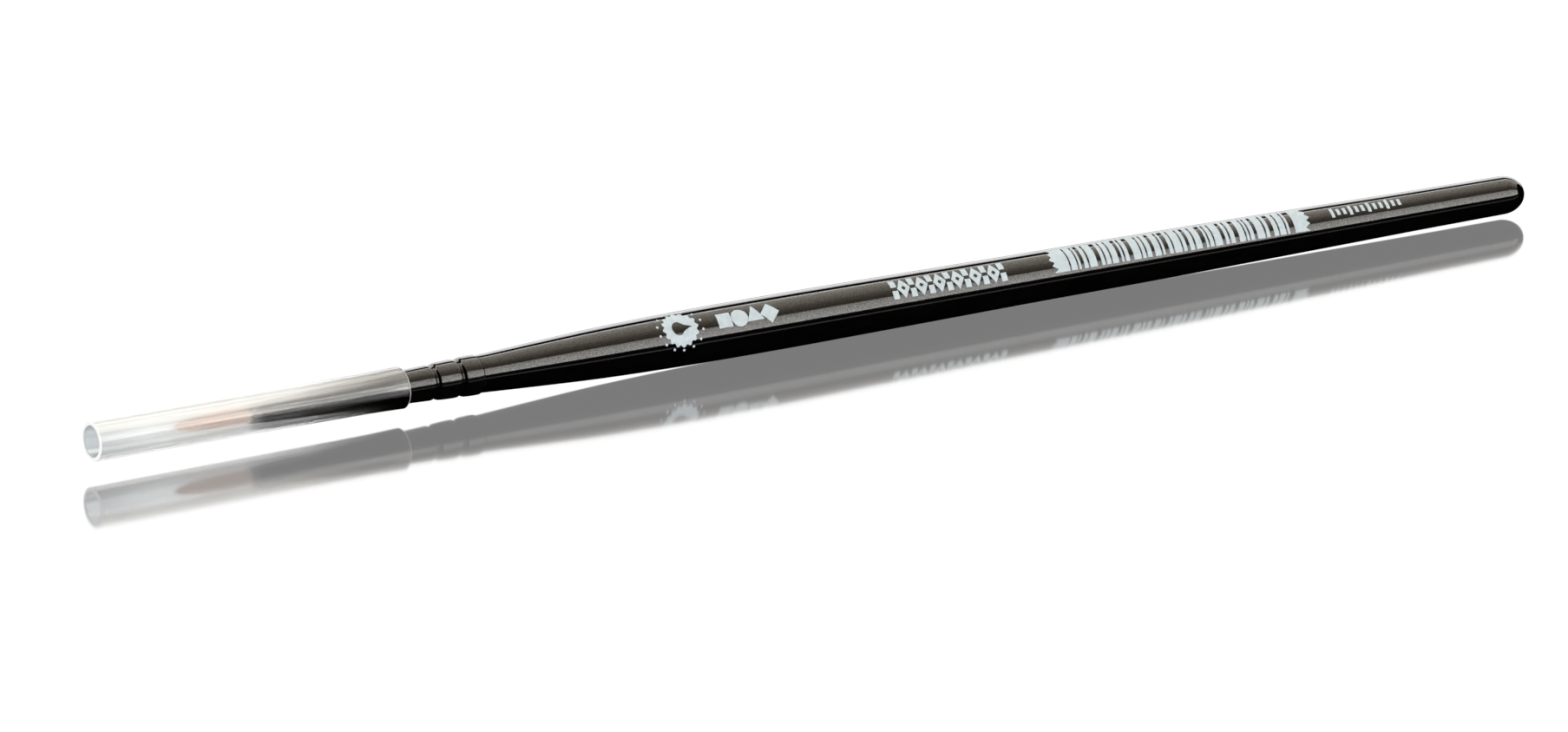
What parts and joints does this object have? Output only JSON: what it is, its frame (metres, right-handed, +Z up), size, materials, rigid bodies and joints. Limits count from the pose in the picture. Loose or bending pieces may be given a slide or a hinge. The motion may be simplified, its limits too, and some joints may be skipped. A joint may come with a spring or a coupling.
{
  "type": "fine detail brush",
  "caption": "Fine-pointed paint brush: tapered round lacquered handle, crimped metal ferrule, short bound hair tuft that flexes, and a clear tube cap that slides off the front.",
  "frame": {"origin": "under the middle of the capped brush's length, on the level of the lowest point of the handle's belly when the axis is level", "axes": "+X along the brush's axis from the cap and tuft to the handle's tail, +Z up, +Y to the left when looking from the tuft to the tail"},
  "size_m": [0.1898, 0.0062, 0.0062],
  "materials": {
    "handle_wood": "bare, fine grain",
    "black_lacquer": "high gloss lacquer",
    "black_metal": "black coated, polished",
    "tenon_glue": "set glue",
    "root_resin": "set resin",
    "binding_thread": "twisted thread",
    "brown_hair": "fine natural hair",
    "loose_hair": "one dark hair",
    "frosted_cap": "frosted, clear",
    "white_ink": "screen print on the lacquer"
  },
  "bodies": {
    "brush": {"handle_core": "handle_wood", "handle_lacquer": "black_lacquer", "ferrule": "black_metal", "tenon_glue": "tenon_glue", "root_resin": "root_resin", "binding_thread": "binding_thread", "tuft_root": "brown_hair", "loose_hair": "loose_hair"},
    "tuft": {"tuft": "brown_hair"},
    "cap": {"protective_cap": "frosted_cap"}
  },
  "joints": [
    {"name": "cap_slide", "type": "slide", "parent": "brush", "child": "cap", "axis": [-1, 0, 0], "range_m": [0, 0.06]},
    {"name": "tuft_flex", "type": "hinge", "parent": "brush", "child": "tuft", "pos_m": [-0.07545, 0, 0.00311], "axis": [0, 1, 0], "range_deg": [-8, 8], "stiffness_Nm_per_rad": 0.0001}
  ]
}
